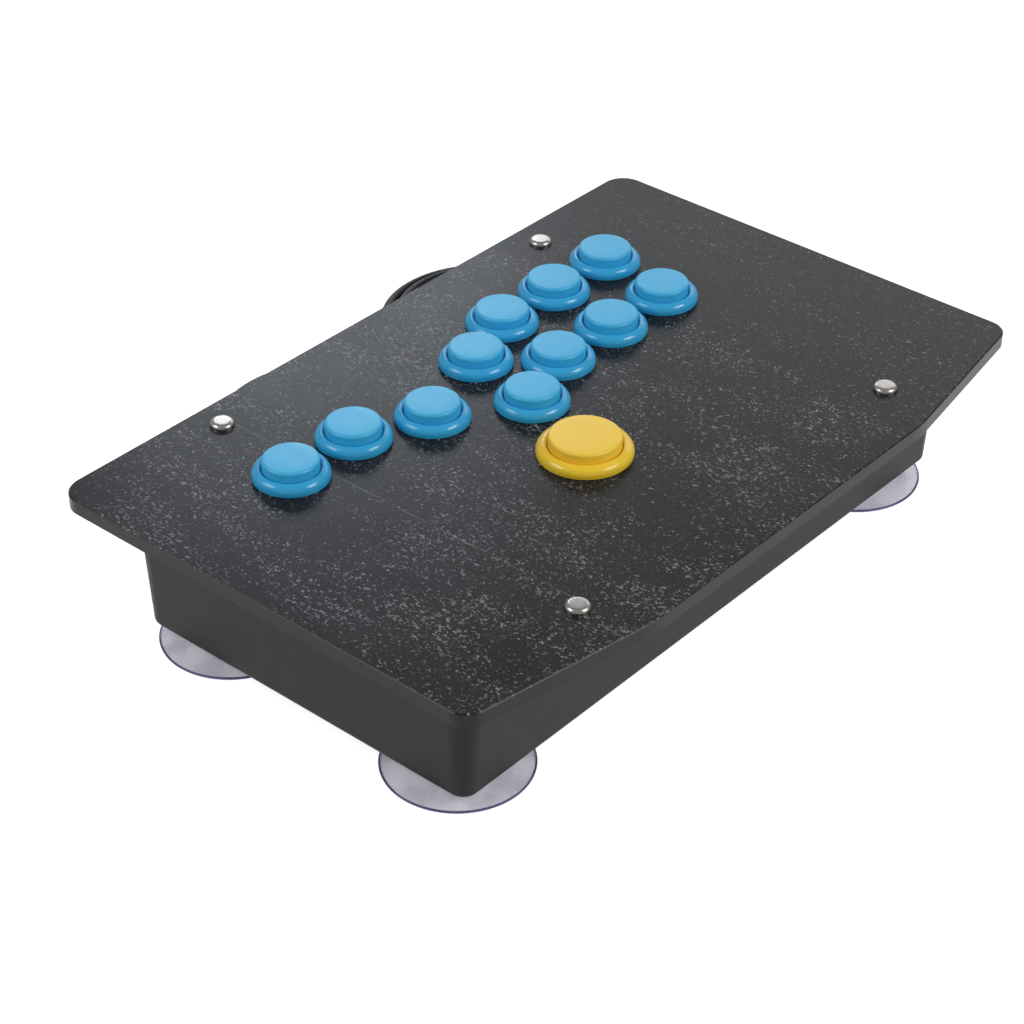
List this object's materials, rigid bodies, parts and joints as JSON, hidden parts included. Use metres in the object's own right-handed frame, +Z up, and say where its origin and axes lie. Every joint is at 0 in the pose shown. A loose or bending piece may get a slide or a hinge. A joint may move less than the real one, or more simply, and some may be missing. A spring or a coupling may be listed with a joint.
{
  "type": "arcade control panel",
  "caption": "Table-top arcade controller with snap-in push buttons in a flat panel, a tray case with board and switches inside, suction cup feet and a tied lead.",
  "frame": {"origin": "on the ground, under the middle of the top panel, measured without the lead and its plug", "axes": "+X along the front edge to the player's right, +Y away from the player, +Z up"},
  "size_m": [0.3094, 0.2796, 0.0717],
  "materials": {
    "black_panel": "satin",
    "black_case": "satin",
    "nickel_bolt": "polished",
    "zinc_steel": "satin",
    "clear_vinyl": "glossy",
    "blue_button": "glossy",
    "blue_button_cap": "satin",
    "yellow_button": "glossy",
    "yellow_button_cap": "satin",
    "spring_steel": "satin",
    "switch_plastic": "matte",
    "terminal_brass": "satin",
    "green_board": "satin",
    "white_header": "matte",
    "black_chip": "matte",
    "cord_rubber": "satin",
    "tie_strap": "matte",
    "plug_rubber": "matte",
    "plug_metal": "satin"
  },
  "bodies": {
    "base": {"top_panel": "black_panel", "case_tray": "black_case", "panel_bolts": "nickel_bolt", "panel_nuts": "zinc_steel", "cup_studs": "zinc_steel", "cup_nuts": "zinc_steel", "suction_cups": "clear_vinyl", "left_housing": "blue_button", "left_spring": "spring_steel", "down_housing": "blue_button", "down_spring": "spring_steel", "right_housing": "blue_button", "right_spring": "spring_steel", "jump_housing": "yellow_button", "jump_spring": "spring_steel", "upper_1_housing": "blue_button", "upper_1_spring": "spring_steel", "upper_2_housing": "blue_button", "upper_2_spring": "spring_steel", "upper_3_housing": "blue_button", "upper_3_spring": "spring_steel", "upper_4_housing": "blue_button", "upper_4_spring": "spring_steel", "lower_1_housing": "blue_button", "lower_1_spring": "spring_steel", "lower_2_housing": "blue_button", "lower_2_spring": "spring_steel", "lower_3_housing": "blue_button", "lower_3_spring": "spring_steel", "lower_4_housing": "blue_button", "lower_4_spring": "spring_steel", "direction_switches": "switch_plastic", "upper_row_switches": "switch_plastic", "lower_row_switches": "switch_plastic", "switch_terminals": "terminal_brass", "encoder_board": "green_board", "board_headers": "white_header", "board_chips": "black_chip", "board_screws": "zinc_steel", "cable_gland": "cord_rubber", "usb_cord_inside": "cord_rubber", "usb_cord_lead": "cord_rubber", "usb_cord_hank": "cord_rubber", "usb_cord_tail": "cord_rubber", "hank_tie": "tie_strap", "plug_body": "plug_rubber", "plug_shell": "plug_metal"},
    "left_button": {"left_plunger": "blue_button_cap"},
    "down_button": {"down_plunger": "blue_button_cap"},
    "right_button": {"right_plunger": "blue_button_cap"},
    "jump_button": {"jump_plunger": "yellow_button_cap"},
    "upper_1_button": {"upper_1_plunger": "blue_button_cap"},
    "upper_2_button": {"upper_2_plunger": "blue_button_cap"},
    "upper_3_button": {"upper_3_plunger": "blue_button_cap"},
    "upper_4_button": {"upper_4_plunger": "blue_button_cap"},
    "lower_1_button": {"lower_1_plunger": "blue_button_cap"},
    "lower_2_button": {"lower_2_plunger": "blue_button_cap"},
    "lower_3_button": {"lower_3_plunger": "blue_button_cap"},
    "lower_4_button": {"lower_4_plunger": "blue_button_cap"}
  },
  "joints": [
    {"name": "left_press", "type": "slide", "parent": "base", "child": "left_button", "axis": [0, 0, -1], "range_m": [0, 0.003], "stiffness_N_per_m": 170, "springref_m": -0.003, "deforming": ["left_spring"]},
    {"name": "down_press", "type": "slide", "parent": "base", "child": "down_button", "axis": [0, 0, -1], "range_m": [0, 0.003], "stiffness_N_per_m": 170, "springref_m": -0.003, "deforming": ["down_spring"]},
    {"name": "right_press", "type": "slide", "parent": "base", "child": "right_button", "axis": [0, 0, -1], "range_m": [0, 0.003], "stiffness_N_per_m": 170, "springref_m": -0.003, "deforming": ["right_spring"]},
    {"name": "jump_press", "type": "slide", "parent": "base", "child": "jump_button", "axis": [0, 0, -1], "range_m": [0, 0.003], "stiffness_N_per_m": 170, "springref_m": -0.003, "deforming": ["jump_spring"]},
    {"name": "upper_1_press", "type": "slide", "parent": "base", "child": "upper_1_button", "axis": [0, 0, -1], "range_m": [0, 0.003], "stiffness_N_per_m": 170, "springref_m": -0.003, "deforming": ["upper_1_spring"]},
    {"name": "upper_2_press", "type": "slide", "parent": "base", "child": "upper_2_button", "axis": [0, 0, -1], "range_m": [0, 0.003], "stiffness_N_per_m": 170, "springref_m": -0.003, "deforming": ["upper_2_spring"]},
    {"name": "upper_3_press", "type": "slide", "parent": "base", "child": "upper_3_button", "axis": [0, 0, -1], "range_m": [0, 0.003], "stiffness_N_per_m": 170, "springref_m": -0.003, "deforming": ["upper_3_spring"]},
    {"name": "upper_4_press", "type": "slide", "parent": "base", "child": "upper_4_button", "axis": [0, 0, -1], "range_m": [0, 0.003], "stiffness_N_per_m": 170, "springref_m": -0.003, "deforming": ["upper_4_spring"]},
    {"name": "lower_1_press", "type": "slide", "parent": "base", "child": "lower_1_button", "axis": [0, 0, -1], "range_m": [0, 0.003], "stiffness_N_per_m": 170, "springref_m": -0.003, "deforming": ["lower_1_spring"]},
    {"name": "lower_2_press", "type": "slide", "parent": "base", "child": "lower_2_button", "axis": [0, 0, -1], "range_m": [0, 0.003], "stiffness_N_per_m": 170, "springref_m": -0.003, "deforming": ["lower_2_spring"]},
    {"name": "lower_3_press", "type": "slide", "parent": "base", "child": "lower_3_button", "axis": [0, 0, -1], "range_m": [0, 0.003], "stiffness_N_per_m": 170, "springref_m": -0.003, "deforming": ["lower_3_spring"]},
    {"name": "lower_4_press", "type": "slide", "parent": "base", "child": "lower_4_button", "axis": [0, 0, -1], "range_m": [0, 0.003], "stiffness_N_per_m": 170, "springref_m": -0.003, "deforming": ["lower_4_spring"]}
  ]
}
